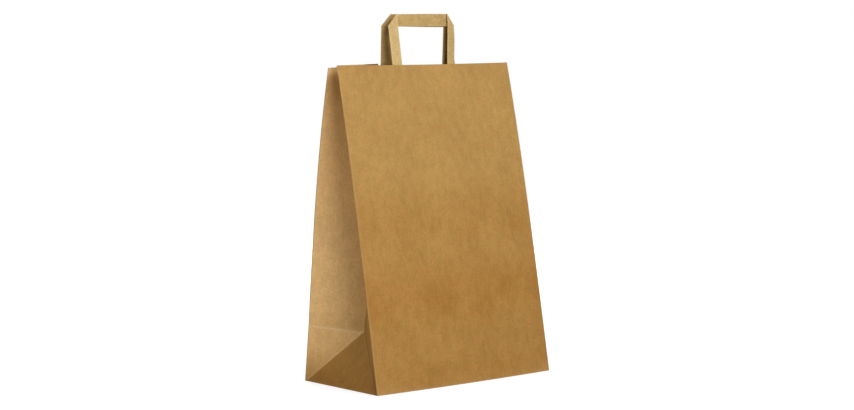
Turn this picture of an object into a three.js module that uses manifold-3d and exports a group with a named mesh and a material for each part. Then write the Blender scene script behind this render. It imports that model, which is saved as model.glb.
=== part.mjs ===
// Paper carrier bag with flat handles, standing empty with its mouth almost closed.
// Millimetres, +Z up, front panel towards -Y, origin on the ground under the middle of the base.

import * as THREE from "three";
import { mergeVertices } from "three/addons/utils/BufferGeometryUtils.js";
import Module from "manifold-3d";

// Body sheet
const bagWidth = 320;
const bagDepth = 160;
const frontHeight = 450;
const rearMouthDrop = 8;
const paperThickness = 0.3;
const foldGap = 0.6;
const seamWidth = 16;
const flapOverlap = 22;

// How the panels stand: bow of the base edges, bulge half way up,
// and the part of the lean that comes near the mouth
const baseBow = 4;
const panelBulge = 5;
const frontLeanBow = 0.1;
const rearLeanBow = 0.35;

// Mouth line of the front panel, as its distance behind the middle of the base
const frontMouthAtLeftCorner = 5;
const frontMouthAtLeftLeg = 8.5;
const frontMouthAtRightLeg = 10;
const frontMouthAtRightCorner = 12;

// Gap from the front panel to the rear panel at the mouth
const mouthGapAtLeftCorner = 20;
const mouthGapAtLeftLeg = 25;
const mouthGapAtRightLeg = 13;
const mouthGapAtRightCorner = 13;

// Gusset creases: how far the meeting point of the creases drops,
// and how far the crease rises over the mouth corners
const creaseDrop = 6;
const tipRise = 2;

// Depth of the fold across the rear panel, where the base lay folded up against it
const rearCreaseDent = 2;

// Handles
const handleWidth = 122;
const handleStripWidth = 17.5;
const handleThickness = 0.8;
const handleLegLength = 124;
const frontHandleRise = 71;
const rearHandleRise = 72.3;
const handleClearLeft = 11;
const handleClearRight = 4.3;
const handleSetBackLeft = 2.3;
const handleSetBackRight = -1;
const rightLegTurn = THREE.MathUtils.degToRad(16);
const legTurnLength = 7.5;

// Patches over the handle legs
const patchMargin = 14;
const patchHeight = 50;
const patchBelowMouth = 10;
const patchRamp = 2.5;

// Gap left between glued pieces
const glueGap = 0.3;

// Mesh steps
const panelSteps = 24;
const gussetSteps = 3;
const creaseSteps = 2;
const stepsBelowCrease = 4;
const stepsAboveCrease = 14;
const legColumns = 2;
const legSteps = 12;
const gripSteps = 10;
const patchSteps = 8;
const patchRows = 4;
const flapSteps = 16;

// Derived sizes
const rearHeight = frontHeight - rearMouthDrop;
const foldWidth = 2 * paperThickness + foldGap;
const baseFoldHeight = 2 * paperThickness;
const floorHeight = 3 * paperThickness;
const creaseShare = bagDepth / 2 / frontHeight;
const legCentre = (handleWidth - handleStripWidth) / 2;
const legInner = handleWidth / 2 - handleStripWidth;
const legDepth = paperThickness + glueGap;
const gripDepth = legDepth + handleThickness;
const handleStack = gripDepth + handleThickness;

const { lerp, smoothstep } = THREE.MathUtils;
const wasm = await Module();
wasm.setup();

// A value that runs smoothly between the left corner, the two handle legs and the right corner
function alongMouth(x, leftCorner, leftLeg, rightLeg, rightCorner) {
  const half = bagWidth / 2;
  if (x < -legCentre) {
    return lerp(leftCorner, leftLeg, smoothstep(x, -half, -legCentre));
  }
  if (x < legCentre) {
    return lerp(leftLeg, rightLeg, smoothstep(x, -legCentre, legCentre));
  }
  return lerp(rightLeg, rightCorner, smoothstep(x, legCentre, half));
}

function frontMouth(x) {
  return alongMouth(
    x, frontMouthAtLeftCorner, frontMouthAtLeftLeg, frontMouthAtRightLeg, frontMouthAtRightCorner,
  );
}

function rearMouth(x) {
  const gap = alongMouth(
    x, mouthGapAtLeftCorner, mouthGapAtLeftLeg, mouthGapAtRightLeg, mouthGapAtRightCorner,
  );
  return frontMouth(x) + gap;
}

// The two panels: outward is the sign of Y that faces away from the bag
const frontPanel = {
  outward: -1,
  height: frontHeight,
  bow: frontLeanBow,
  creaseDent: 0,
  mouth: frontMouth,
  handleRise: frontHandleRise,
  legTurn: rightLegTurn,
};
const rearPanel = {
  outward: 1,
  height: rearHeight,
  bow: rearLeanBow,
  creaseDent: rearCreaseDent,
  mouth: rearMouth,
  handleRise: rearHandleRise,
  legTurn: 0,
};

// A point of a panel's outer face. The share runs from 0 at the base fold to 1 at the mouth.
function panelPoint(panel, x, share) {
  const across = 2 * x / bagWidth;
  const crown = 1 - across * across;
  const foot = panel.outward * (bagDepth / 2 + baseBow * crown);
  const run = panel.mouth(x) - foot;
  const straight = 1 - panel.bow;
  const lean = straight * share + panel.bow * share ** 3;
  const bulge = panelBulge * crown * 4 * share * (1 - share);
  const dent = panel.creaseDent * Math.min(share / creaseShare, (1 - share) / (1 - creaseShare));
  // Height that the sheet loses by leaning, from its slope squared
  const bent = panel.bow * share ** 2;
  const slopes = share * (straight ** 2 + 2 * straight * bent + 1.8 * bent ** 2);
  const lost = run * run / panel.height * slopes / 2;
  return new THREE.Vector3(
    x, foot + run * lean + panel.outward * (bulge - dent), baseFoldHeight + panel.height * share - lost,
  );
}

// The two edges of the gusset's centre crease, above the point where the creases meet
function creaseEdges(side, share) {
  const front = panelPoint(frontPanel, side * bagWidth / 2, share);
  const rear = panelPoint(rearPanel, side * bagWidth / 2, share);
  const upward = (share - creaseShare) / (1 - creaseShare);
  const drop = lerp(creaseDrop, -tipRise, upward);
  const reach = (rear.y - front.y) / 2 - 1.5 * foldWidth;
  const inward = Math.sqrt((bagDepth / 2) ** 2 - reach ** 2 - drop ** 2);
  const centre = front.clone().lerp(rear, 0.5);
  centre.x -= side * inward;
  centre.z -= drop;
  const halfFold = new THREE.Vector3(0, foldWidth / 2, 0);
  return [centre.clone().sub(halfFold), centre.clone().add(halfFold)];
}

// One level of a gusset, from the front panel's fold to the rear panel's fold
function gussetLine(side, share) {
  const fold = new THREE.Vector3(0, foldWidth, 0);
  const frontFold = panelPoint(frontPanel, side * bagWidth / 2, share).add(fold);
  const rearFold = panelPoint(rearPanel, side * bagWidth / 2, share).sub(fold);
  let [frontCrease, rearCrease] = creaseEdges(side, Math.max(share, creaseShare));
  if (share < creaseShare) {
    // Below the meeting point the crease parts into two diagonals down to the base corners
    const down = share / creaseShare;
    const frontCorner = panelPoint(frontPanel, side * bagWidth / 2, 0).addScaledVector(fold, 2);
    const rearCorner = panelPoint(rearPanel, side * bagWidth / 2, 0).addScaledVector(fold, -2);
    frontCrease = frontCorner.lerp(frontCrease, down);
    rearCrease = rearCorner.lerp(rearCrease, down);
  }
  const line = [];
  for (let i = 0; i < gussetSteps; i++) {
    line.push(frontFold.clone().lerp(frontCrease, i / gussetSteps));
  }
  for (let i = 0; i < creaseSteps; i++) {
    line.push(frontCrease.clone().lerp(rearCrease, i / creaseSteps));
  }
  for (let i = 0; i <= gussetSteps; i++) {
    line.push(rearCrease.clone().lerp(rearFold, i / gussetSteps));
  }
  return line;
}

// One closed level of the bag, anticlockwise from above, with the glued seam raised on the rear panel
function bagRing(share, seamRaise) {
  const half = bagWidth / 2;
  const ring = [];
  for (let i = 0; i <= panelSteps; i++) {
    ring.push(panelPoint(frontPanel, lerp(-half, half, i / panelSteps), share));
  }
  ring.push(...gussetLine(1, share));
  const seamEdge = half - seamWidth;
  for (const x of [half, seamEdge]) {
    const point = panelPoint(rearPanel, x, share);
    point.y += seamRaise;
    ring.push(point);
  }
  for (let i = 0; i <= panelSteps; i++) {
    ring.push(panelPoint(rearPanel, lerp(seamEdge - paperThickness, -half, i / panelSteps), share));
  }
  ring.push(...gussetLine(-1, share).reverse());
  return ring;
}

// The same level moved inwards by the paper's thickness, mitred at every fold
function insetRing(ring) {
  const edgeNormal = (from, to) => new THREE.Vector2(to.y - from.y, from.x - to.x).normalize();
  return ring.map((point, i) => {
    const before = edgeNormal(ring.at(i - 1), point);
    const after = edgeNormal(point, ring[(i + 1) % ring.length]);
    const mitre = before.clone().add(after).multiplyScalar(paperThickness / (1 + before.dot(after)));
    return new THREE.Vector3(point.x - mitre.x, point.y - mitre.y, point.z);
  });
}

// A mesh from points and triangles, turned so that its faces point out
function solidGeometry(points, triangles) {
  const volume = triangles.reduce((sum, [a, b, c]) => {
    return sum + points[a].dot(points[b].clone().cross(points[c]));
  }, 0);
  const outward = volume > 0 ? triangles : triangles.map(([a, b, c]) => [a, c, b]);
  const geometry = new THREE.BufferGeometry().setFromPoints(points);
  geometry.setIndex(outward.flat());
  return geometry;
}

// A closed shell from outer and inner levels: walls, rim, underside and floor
function shellGeometry(outerRings, innerRings) {
  const count = outerRings[0].length;
  const innerStart = outerRings.length * count;
  const points = [...outerRings, ...innerRings].flat();
  const triangles = [];
  // Outer and inner walls are split along the same diagonals, so that the sheet keeps its thickness
  for (let level = 0; level + 1 < outerRings.length; level++) {
    for (let i = 0; i < count; i++) {
      const a = level * count + i;
      const b = level * count + (i + 1) % count;
      for (const [p, q, r] of [[a, b, b + count], [a, b + count, a + count]]) {
        triangles.push([p, q, r], [p + innerStart, r + innerStart, q + innerStart]);
      }
    }
  }
  const rim = innerStart - count;
  const underside = points.push(new THREE.Vector3(0, 0, outerRings[0][0].z)) - 1;
  const floor = points.push(new THREE.Vector3(0, 0, innerRings[0][0].z)) - 1;
  for (let i = 0; i < count; i++) {
    const next = (i + 1) % count;
    const inner = rim + innerStart;
    triangles.push([rim + i, rim + next, inner + next], [rim + i, inner + next, inner + i]);
    triangles.push([next, i, underside], [innerStart + i, innerStart + next, floor]);
  }
  return solidGeometry(points, triangles);
}

// A closed plate over a grid of columns and rows. place(u, v, face) gives its points,
// with u and v from 0 to 1 and face 0 or 1 for its two sides.
function plateGeometry(columns, rows, place) {
  const points = [];
  const triangles = [];
  const index = (face, u, v) => (face * (columns + 1) + u) * (rows + 1) + v;
  for (const face of [0, 1]) {
    for (let u = 0; u <= columns; u++) {
      for (let v = 0; v <= rows; v++) {
        points.push(place(u / columns, v / rows, face));
      }
    }
  }
  const quad = (a, b, c, d) => triangles.push([a, b, c], [a, c, d]);
  for (let u = 0; u < columns; u++) {
    for (let v = 0; v < rows; v++) {
      quad(index(0, u, v), index(0, u, v + 1), index(0, u + 1, v + 1), index(0, u + 1, v));
      quad(index(1, u, v), index(1, u + 1, v), index(1, u + 1, v + 1), index(1, u, v + 1));
    }
    quad(index(0, u, 0), index(0, u + 1, 0), index(1, u + 1, 0), index(1, u, 0));
    quad(index(0, u + 1, rows), index(0, u, rows), index(1, u, rows), index(1, u + 1, rows));
  }
  for (let v = 0; v < rows; v++) {
    quad(index(0, 0, v + 1), index(0, 0, v), index(1, 0, v), index(1, 0, v + 1));
    quad(index(0, columns, v), index(0, columns, v + 1), index(1, columns, v + 1), index(1, columns, v));
  }
  return solidGeometry(points, triangles);
}

// Several closed geometries joined into one
function joined(geometries) {
  const solids = geometries.map((geometry) => {
    const merged = mergeVertices(geometry);
    return new wasm.Manifold(new wasm.Mesh({
      numProp: 3,
      vertProperties: new Float32Array(merged.attributes.position.array),
      triVerts: new Uint32Array(merged.index.array),
    }));
  });
  const mesh = solids.reduce((sum, solid) => sum.add(solid)).getMesh();
  const geometry = new THREE.BufferGeometry();
  geometry.setAttribute("position", new THREE.BufferAttribute(mesh.vertProperties, 3));
  geometry.setIndex(new THREE.BufferAttribute(mesh.triVerts, 1));
  return geometry;
}

// A point on a panel's sheet or on its straight run above the mouth, at a depth behind the outer face
function sheetPoint(panel, x, along, depth) {
  const step = 0.01;
  const share = Math.min(along / panel.height, 1);
  const below = panelPoint(panel, x, share - step);
  const point = panelPoint(panel, x, share);
  const direction = point.clone().sub(below).normalize();
  const beyond = along - panel.height;
  if (beyond > 0) {
    const rightward = smoothstep(x, -legCentre, legCentre);
    const clear = lerp(handleClearLeft, handleClearRight, rightward);
    const setBack = lerp(handleSetBackLeft, handleSetBackRight, rightward);
    const middle = (frontMouth(x) + rearMouth(x)) / 2 + setBack;
    const topY = middle + panel.outward * (clear / 2 + handleStack);
    direction.set(0, topY - panel.mouth(x), panel.handleRise).normalize();
    point.addScaledVector(direction, beyond);
  }
  const turned = smoothstep(beyond, -patchBelowMouth, legTurnLength) * Math.max(x - legInner, 0);
  point.y -= panel.outward * Math.tan(panel.legTurn) * turned;
  point.y -= panel.outward * direction.z * depth;
  point.z += panel.outward * direction.y * depth;
  return point;
}

// Body: the folded sheet with its two base flaps
function bodyGeometry() {
  const shares = [];
  for (let i = 0; i < stepsBelowCrease; i++) {
    shares.push(creaseShare * i / stepsBelowCrease);
  }
  for (let i = 0; i <= stepsAboveCrease; i++) {
    shares.push(lerp(creaseShare, 1, i / stepsAboveCrease));
  }
  const outerRings = shares.map((share) => bagRing(share, paperThickness));
  const innerRings = shares.map((share) => insetRing(bagRing(share, 0)));
  innerRings[0].forEach((point) => {
    point.z = floorHeight;
  });
  return joined([
    shellGeometry(outerRings, innerRings),
    flapGeometry(frontPanel, paperThickness),
    flapGeometry(rearPanel, 0),
  ]);
}

// A base flap: a trapezium with 45 degree ends, from its panel's base fold to just past the middle
function flapGeometry(panel, underside) {
  const length = (bagDepth + flapOverlap) / 2;
  const top = (baseFoldHeight + floorHeight) / 2;
  return plateGeometry(flapSteps, 1, (u, v, face) => {
    const half = bagWidth / 2 - paperThickness - v * length;
    const x = lerp(-half, half, u);
    const foot = panelPoint(panel, x, 0).y - panel.outward * paperThickness;
    const y = lerp(foot, panel.outward * (bagDepth / 2 - length), v);
    return new THREE.Vector3(x, y, face ? top : underside);
  });
}

// A handle: two legs, and the grip behind them that starts and ends in a 45 degree fold
function handleGeometry(panel) {
  const top = panel.height + panel.handleRise;
  const foot = top - handleLegLength;
  const outer = handleWidth / 2;
  const leg = (side) => plateGeometry(legColumns, legSteps, (u, v, face) => {
    const x = side * (outer - u * handleStripWidth);
    const end = top - (1 - u) * handleStripWidth;
    // Half of the steps lie below the mouth, so that the strip bends just at the panel's edge
    const along = v < 0.5 ? lerp(foot, panel.height, 2 * v) : lerp(panel.height, end, 2 * v - 1);
    return sheetPoint(panel, x, along, legDepth + face * handleThickness);
  });
  const grip = plateGeometry(gripSteps, 1, (u, v, face) => {
    const half = outer - v * handleStripWidth;
    const along = top - (1 - v) * handleStripWidth;
    // The grip sinks a little into the legs so that the layers are one body
    const depth = face ? handleStack : gripDepth - paperThickness / 2;
    return sheetPoint(panel, lerp(-half, half, u), along, depth);
  });
  return joined([leg(-1), leg(1), grip]);
}

// A patch: flat on the panel, stepped over the two handle legs
function patchGeometry(panel) {
  const overLeg = gripDepth + glueGap;
  const stepIn = legInner - glueGap;
  const stepOut = handleWidth / 2 + glueGap;
  const half = [
    [stepIn, overLeg],
    [legCentre, overLeg],
    [stepOut, overLeg],
    [stepOut + patchRamp, legDepth],
    [handleWidth / 2 + patchMargin, legDepth],
  ];
  const columns = half.map(([x, depth]) => [-x, depth]).toReversed();
  for (let i = 0; i <= patchSteps; i++) {
    const flatEnd = stepIn - patchRamp;
    columns.push([lerp(-flatEnd, flatEnd, i / patchSteps), legDepth]);
  }
  columns.push(...half);
  const last = columns.length - 1;
  const top = panel.height - patchBelowMouth;
  return plateGeometry(last, patchRows, (u, v, face) => {
    const [x, depth] = columns[Math.round(u * last)];
    return sheetPoint(panel, x, top - (1 - v) * patchHeight, depth + face * paperThickness);
  });
}

// Finishes
function kraftPaper(colour) {
  return new THREE.MeshStandardMaterial({ color: colour, roughness: 0.85, metalness: 0 });
}

function piece(name, geometry, material) {
  const mesh = new THREE.Mesh(geometry, material);
  mesh.name = name;
  return mesh;
}

const bag = new THREE.Group();
bag.name = "paper_carrier_bag";
bag.add(
  piece("bag_body", bodyGeometry(), kraftPaper("#b0864a")),
  piece("front_handle", handleGeometry(frontPanel), kraftPaper("#c8a870")),
  piece("rear_handle", handleGeometry(rearPanel), kraftPaper("#c8a870")),
  piece("front_handle_patch", patchGeometry(frontPanel), kraftPaper("#b78f54")),
  piece("rear_handle_patch", patchGeometry(rearPanel), kraftPaper("#b78f54")),
);

export default bag;
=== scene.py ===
"""Paper carrier bag with flat handles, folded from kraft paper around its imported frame."""

import math
from functools import partial, reduce
from typing import NamedTuple

import bpy
import numpy as np
from bpy.props import FloatProperty, FloatVectorProperty, PointerProperty
from bpy.types import NodeSocket, Operator, Panel, PropertyGroup
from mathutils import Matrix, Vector


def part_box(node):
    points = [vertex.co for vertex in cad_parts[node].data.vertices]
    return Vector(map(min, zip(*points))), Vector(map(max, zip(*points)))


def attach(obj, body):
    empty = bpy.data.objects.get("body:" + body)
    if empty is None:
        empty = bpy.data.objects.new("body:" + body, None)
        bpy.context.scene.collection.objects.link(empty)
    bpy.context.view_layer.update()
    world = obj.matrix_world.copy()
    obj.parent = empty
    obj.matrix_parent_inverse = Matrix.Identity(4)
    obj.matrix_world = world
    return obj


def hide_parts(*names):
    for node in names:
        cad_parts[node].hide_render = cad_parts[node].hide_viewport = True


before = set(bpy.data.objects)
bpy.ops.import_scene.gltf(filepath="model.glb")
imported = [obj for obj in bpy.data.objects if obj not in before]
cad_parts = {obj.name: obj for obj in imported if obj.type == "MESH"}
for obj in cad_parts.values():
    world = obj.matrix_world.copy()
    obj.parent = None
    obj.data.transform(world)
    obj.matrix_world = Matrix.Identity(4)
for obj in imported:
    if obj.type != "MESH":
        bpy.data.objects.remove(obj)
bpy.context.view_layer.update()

bl_info = {
    "name": "Paper carrier bag",
    "version": (1, 0, 0),
    "blender": (4, 5, 0),
    "location": "3D View > Sidebar > Paper bag",
    "description": "Folds a kraft paper carrier bag with flat handles around its packed frame",
    "category": "Mesh",
}

BODY_LOW, BODY_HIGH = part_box("bag_body")

# Camera: width of the picture and focal length in pixels, and how far it sees
FRAME_WIDTH = 854
FOCAL_PIXELS = 2178
CLIP_END = 60.0

# Grid of the sheet: step of columns and rows, closer stops beside a fold, steps round a side fold, stops
# across a gusset's middle crease, and columns of the seam
SHEET_STEP = 0.005
FOLD_STOPS = np.array([0.0, 0.0012, 0.0035])
FOLD_ARC_STEPS = 6
CREASE_STOPS = np.array([0.0, 0.015, 0.05, 0.15, 0.3, 0.5, 0.7, 0.85, 0.95, 0.985, 1.0])
SEAM_COLUMNS = 5

# Grids of a base flap, a patch and a handle strip
FLAP_ROWS = 19
FLAP_COLUMNS = 41
PATCH_ROWS = 33
PATCH_COLUMNS = 121
STRIP_COLUMNS = 9
LEG_ROWS = 56
FOLD_ROWS = 10
GRIP_ROWS = 44
EDGE_STEPS = 4

# Slow waves of a panel: strength, radians per metre across and up, share of its phase, and start. Then the
# height over which they begin
WAVES = (
    (1.0, 21, 13, 1.0, 0.0),
    (0.7, -37, 17, 2.3, 0.0),
    (0.5, 52, 41, 1.0, 1.1),
    (0.3, 88, -33, 3.1, 0.0),
)
WAVE_FOOT = 0.06

# Step for the slope of a panel, flatness of the ridge at a cross crease, limit of the mitres, and sharp angle
SLOPE_STEP = 0.01
RIDGE_POWER = 0.3
MITRE_LIMIT = 0.3
SHARP_ANGLE = math.radians(28)

# Distances below its fold over which the lift of a handle's leg grows and fades
LIFT_GROWS = (0.0, 0.012)
LIFT_FADES = (0.02, 0.06)

# On the flat layout: gap between the two faces of a strip, and distance of the base from the sheet
STRIP_GAP = 0.01
BASE_GAP = np.array([0.0, 0.3])

# Worn, paler lines: how far they run beside a fold, how worn each kind is, and the share of it inside the bag
WEAR_REACH = 0.0012
CROSS_WEAR = 1.0
REAR_CROSS_WEAR = 0.3
CREASE_WEAR = 0.6
BASE_WEAR = 0.25
SIDE_WEAR = 0.15
PATCH_WEAR = 0.5
INSIDE_WEAR = 0.5

# Painted highlight along the rim of a gusset's rear half, carried with the fold wear, and how far it reaches
RIM_PAINTED_HIGHLIGHT = 0.8
RIM_HIGHLIGHT_REACH = 0.006

# Wear of a strip's edges where it has no painted light, and share of the grip over which the legs' painted
# light and shade fade
STRIP_WEAR = 0.2
GRIP_FADE = 0.1

# Value of the deepest painted shade. A value of 0 is the plain colour, and 1 the pale colour of painted light
DEEPEST_PAINTED_SHADE = -2.0

# Painted shade in the side folds and along the panels' rims, and how far the second one reaches
SIDE_SHADE = 0.8
RIM_SHADE = 0.5
RIM_REACH = 0.002

# Painted light along the base edge: how strong it is, how far up it reaches, and how far from a corner it
# doubles
FOOT_PAINTED_LIGHT = 0.13
FOOT_REACH = 0.016
CORNER_REACH = 0.025

# Shares of the height over which the gussets' painted light gives way to painted shade, and comes back at the
# mouth
PAINTED_LIGHT_TOP_FADE = (0.82, 1.08)
RIM_PAINTED_LIGHT = (0.972, 0.988)

# How much painted light the gussets get under the cross crease, the share of the height over which they get
# more above it, the part of it kept at the base, and the height over which the rest comes back
LOW_PAINTED_LIGHT = 0.75
LOW_PAINTED_LIGHT_FADE = 0.07
FOOT_KEEP = 0.4
FOOT_KEEP_HEIGHT = 0.06

# Shares of the height over which a gusset's front half and middle crease get as much painted light as its
# rear half
FRONT_PAINTED_LIGHT_FADE = (0.42, 0.88)

# Painted shade on the tucked-in front half: how dark it is, the share of the height up to which it is so, and
# how far the painted shade beside its fold reaches
TUCKED_PAINTED_SHADE = 1.3
TUCKED_FADE = 0.7
TUCKED_REACH = 0.003

# Shares of the left gusset's front half over which painted shade darkens it towards the tip that stands over
# the mouth
TIP_FADE = (0.6, 0.8)

# Painted shade: how dark the triangle over the base is
BASE_SHADE = 0.45

# Painted shade: loss of painted light in a gusset's rear half beside the middle crease, and how far it
# reaches
CREASE_SHADE = 0.62
CREASE_SHADE_REACH = 0.025

# Tints that the patches of the paper range between, and the warm tint of the deepest painted shade
YELLOWER = (0.985, 1.012, 0.99)
REDDER = (1.015, 0.988, 1.01)
PAINTED_SHADE_TINT = (0.44, 0.40, 0.20)
UNTINTED = (1.0, 1.0, 1.0)

# Noise on the flat layout: width and height of its patches, and its detail
NOISES = {
    "clouds": (0.06, 0.08, 3.0),
    "dapples": (0.011, 0.016, 3.0),
    "patches": (0.018, 0.013, 2.0),
    "tints": (0.013, 0.013, 1.0),
    "grain": (0.0028, 0.0036, 2.0),
    "streaks": (0.0022, 0.03, 2.0),
    "fibres": (0.0007, 0.0024, 3.0),
    "cross_fibres": (0.002, 0.0006, 2.0),
    "specks": (0.0012, 0.0015, 1.0),
}
NOISE_ROUGHNESS = 0.55

# Ribs of the sheet: distance between them, waver, detail, and radians per unit of the node's scale
RIB_PERIOD = 0.0014
RIB_WAVER = 1.2
RIB_DETAIL = 1.0
RIB_RADIANS = 20

# Noise in the brightness: its range, the change at the low end, opposite at the high end, and whether the
# mottle of a material multiplies it
SHADES = (
    ("clouds", 0.3, 0.7, 0.04, False),
    ("dapples", 0.3, 0.7, 0.05, True),
    ("grain", 0.25, 0.75, -0.08, True),
    ("streaks", 0.3, 0.7, -0.03, False),
    ("fibres", 0.25, 0.75, -0.04, False),
    ("cross_fibres", 0.25, 0.75, -0.03, False),
    ("ribs", 0.0, 1.0, -0.02, False),
)
STRIP_MOTTLE = 1.6

# Range of a noise and what it goes to: tint, specks, share of worn colour at wear and painted rim highlight,
# roughness
TINTED = (0.35, 0.65, 0.0, 1.0)
SPECKLED = (0.68, 0.74, 1.0, 0.75)
RUBBED = (0.3, 0.65, 0.3, 0.8)
ROUGHNESS = (0.3, 0.7, 0.74, 0.9)
SPECULAR = 0.2

# How high each noise stands out of the paper, and how strongly that shows
BUMPS = (("clouds", 0.003), ("dapples", 0.0007), ("grain", 0.00015), ("fibres", 0.00006))
BUMP_STRENGTH = 0.6

# Painted shade: heights between which the sheet's darker warm brown fades out, and its share at both
WARMTH = (0.13, 0.37, 0.84, 0.14)

# Painted shade in faint, darker warm bands across the sheet: distance between them, height of one of them,
# and how far they waver
BAND_PERIOD = 0.12
BAND_HEIGHT = 0.122
BAND_WAVER = 0.04

# What else changes the warmth of the painted shade: its range, and what it multiplies the warmth by
WARMTHS = (
    ("bands", -1.0, 1.0, 0.72, 1.0),
    ("clouds", 0.35, 0.65, 0.8, 1.0),
    ("patches", 0.3, 0.7, 0.9, 1.0),
)

# The two colours and the result among the sockets of a mix node
MIX_FIRST = 6
MIX_SECOND = 7
MIX_RESULT = 2

# Softboxes: azimuth and elevation in degrees as seen from the bag, distance, size and power
SOFTBOXES = (
    ("key_softbox", 7, 45, 1.5, 0.8, 10.9),
    ("low_front_softbox", -15.5, 7, 2.0, 1.1, 18.7),
    ("left_softbox", -90, 7, 2.0, 0.9, 9.8),
    ("right_softbox", 105, 25, 2.0, 1.0, 16.0),
    ("rear_softbox", 162, 15, 2.0, 1.0, 22.0),
)
AMBIENT_TINT = (1.0, 0.95, 0.88)

# A light card that lies on the floor to the left of the bag
FLOOR_CARD_PLACE = (-0.75, 0.0, 0.002)
FLOOR_CARD_SIZE = 1.1
FLOOR_CARD_POWER = 1.9

# How far the floor lies under the bag, and the distance from the bag up to which it has its near brightness
FLOOR_DROP = 0.0003
NEAR_FLOOR = 0.25


def setting(kind, **options):
    """A maker of settings of one kind, which takes a name, a description and a default."""
    def make(name, description, default):
        return kind(name=name, description=description, default=default, **options)
    return make


# Lengths are in metres, angles in radians and colours linear
length = setting(FloatProperty, unit="LENGTH", precision=4)
share = setting(FloatProperty, min=0.0, max=1.0)
angle = setting(FloatProperty, unit="ROTATION")
colour = setting(FloatVectorProperty, subtype="COLOR", size=3, min=0.0, max=1.0)
end_lengths = setting(FloatVectorProperty, size=2, unit="LENGTH", precision=4)
mouth_lengths = setting(FloatVectorProperty, size=4, unit="LENGTH", precision=4)


class BagSheetSizes(PropertyGroup):
    """The folded sheet and the way its panels stand.

    The four lengths of the mouth are at its left corner, the two handle legs and its right corner.
    """

    width: length("Width", "Width of the front and rear panels", BODY_HIGH.x - BODY_LOW.x)
    depth: length("Depth", "Depth of the base, and flat width of a gusset", 0.16)
    front_height: length("Front height", "Height of the front panel along the paper", 0.45)
    rear_drop: length("Rear drop", "How much lower the rear panel is cut", 0.008)
    paper: length("Paper thickness", "Thickness of the sheet", 0.0003)
    fold: length("Fold width", "Width of the bend at a fold", 0.0012)
    seam: length("Seam width", "Width of the glued seam on the rear panel", 0.016)
    flap_overlap: length("Flap overlap", "How far the two base flaps lie over each other", 0.022)
    base_bow: length("Base bow", "Bow of the front and rear base edges", 0.004)
    bulge: length("Panel bulge", "Bulge of the panels half way up", 0.005)
    front_lean: share("Front lean", "Part of the front panel's lean that comes near the mouth", 0.1)
    rear_lean: share("Rear lean", "Part of the rear panel's lean that comes near the mouth", 0.35)
    rear_dent: length("Rear dent", "Depth of the fold across the rear panel", 0.002)
    crease_drop: length("Crease drop", "How far the meeting point of the gusset creases drops", 0.006)
    crease_ridge: length("Crease ridge", "Height of the ridge along the cross crease of a gusset", 0.0006)
    tip_rise: length("Tip rise", "How far the left gusset's crease rises over the mouth corners", 0.0026)
    ripple: length("Ripple", "Height of the slow waves in the paper", 0.0004)
    mouth: mouth_lengths("Mouth", "Front rim behind the middle of the base", (0.005, 0.0085, 0.010, 0.012))
    mouth_gap: mouth_lengths("Mouth gap", "Gap between the front and rear rims", (0.020, 0.025, 0.013, 0.013))


class BagHandleSizes(PropertyGroup):
    """The folded handle strips and the patches over their legs."""

    width: length("Handle width", "Width of a handle over both legs", 0.122)
    strip: length("Strip width", "Width of the folded strip", 0.0175)
    thickness: length("Strip thickness", "Thickness of the folded strip", 0.0008)
    leg: length("Leg length", "Length of a leg from its foot to the top of the grip", 0.124)
    front_rise: length("Front rise", "Height of the front handle over the mouth", 0.071)
    rear_rise: length("Rear rise", "Height of the rear handle over the mouth", 0.0723)
    clear: end_lengths("Clear", "Gap between the two handles at their left and right ends", (0.011, 0.0043))
    set_back: end_lengths("Set back", "How far the left and right ends lean back", (0.0023, -0.001))
    leg_turn: angle("Leg turn", "Turn of the front handle's right leg", math.radians(16))
    rear_leg_turn: angle("Rear leg turn", "Turn of the rear handle's left leg at its foot", math.radians(18))
    leg_slant: angle("Leg slant", "Slant of the front handle's left leg below its fold", math.radians(3.5))
    turn_length: length("Turn length", "Length over which the front handle's right leg turns", 0.0075)
    leg_lift: length("Leg lift", "How far the front handle's right leg stands off the grip", 0.0012)
    glue: length("Glue gap", "Gap between glued pieces", 0.0003)
    patch_margin: length("Patch margin", "Width of the patch beyond the legs", 0.014)
    patch_height: length("Patch height", "Height of the patch", 0.05)
    patch_drop: length("Patch drop", "Distance of the patch below the mouth", 0.01)
    patch_ramp: length("Patch ramp", "Length over which the patch steps over a leg", 0.0025)


class KraftColours(PropertyGroup):
    """Colours of the kraft paper, linear."""

    sheet: colour("Sheet", "Brown kraft of the bag", (0.472, 0.273, 0.084))
    # Painted shade: this darker warm brown darkens the lower half and faint bands
    warm: colour("Warm sheet", "Warmer brown of the bag's bands and lower half", (0.380, 0.168, 0.027))
    # Painted light and sheen: the gussets' paler, greyer kraft
    gusset: colour("Gusset", "Paler kraft inside the gussets", (0.690, 0.435, 0.181))
    grip: colour("Grip", "Kraft of the handles where they are held", (0.478, 0.317, 0.119))
    # Painted light on the front handle's legs, in this paler kraft
    strip: colour("Strip", "Paler kraft of the front handle's legs", (0.605, 0.424, 0.180))
    patch: colour("Patch", "Kraft of the patches", (0.474, 0.275, 0.089))
    # The worn colour also gives the painted highlight along the gussets' rims
    worn: colour("Worn folds", "Fibres laid bare along the folds", (0.760, 0.550, 0.290))


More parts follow.
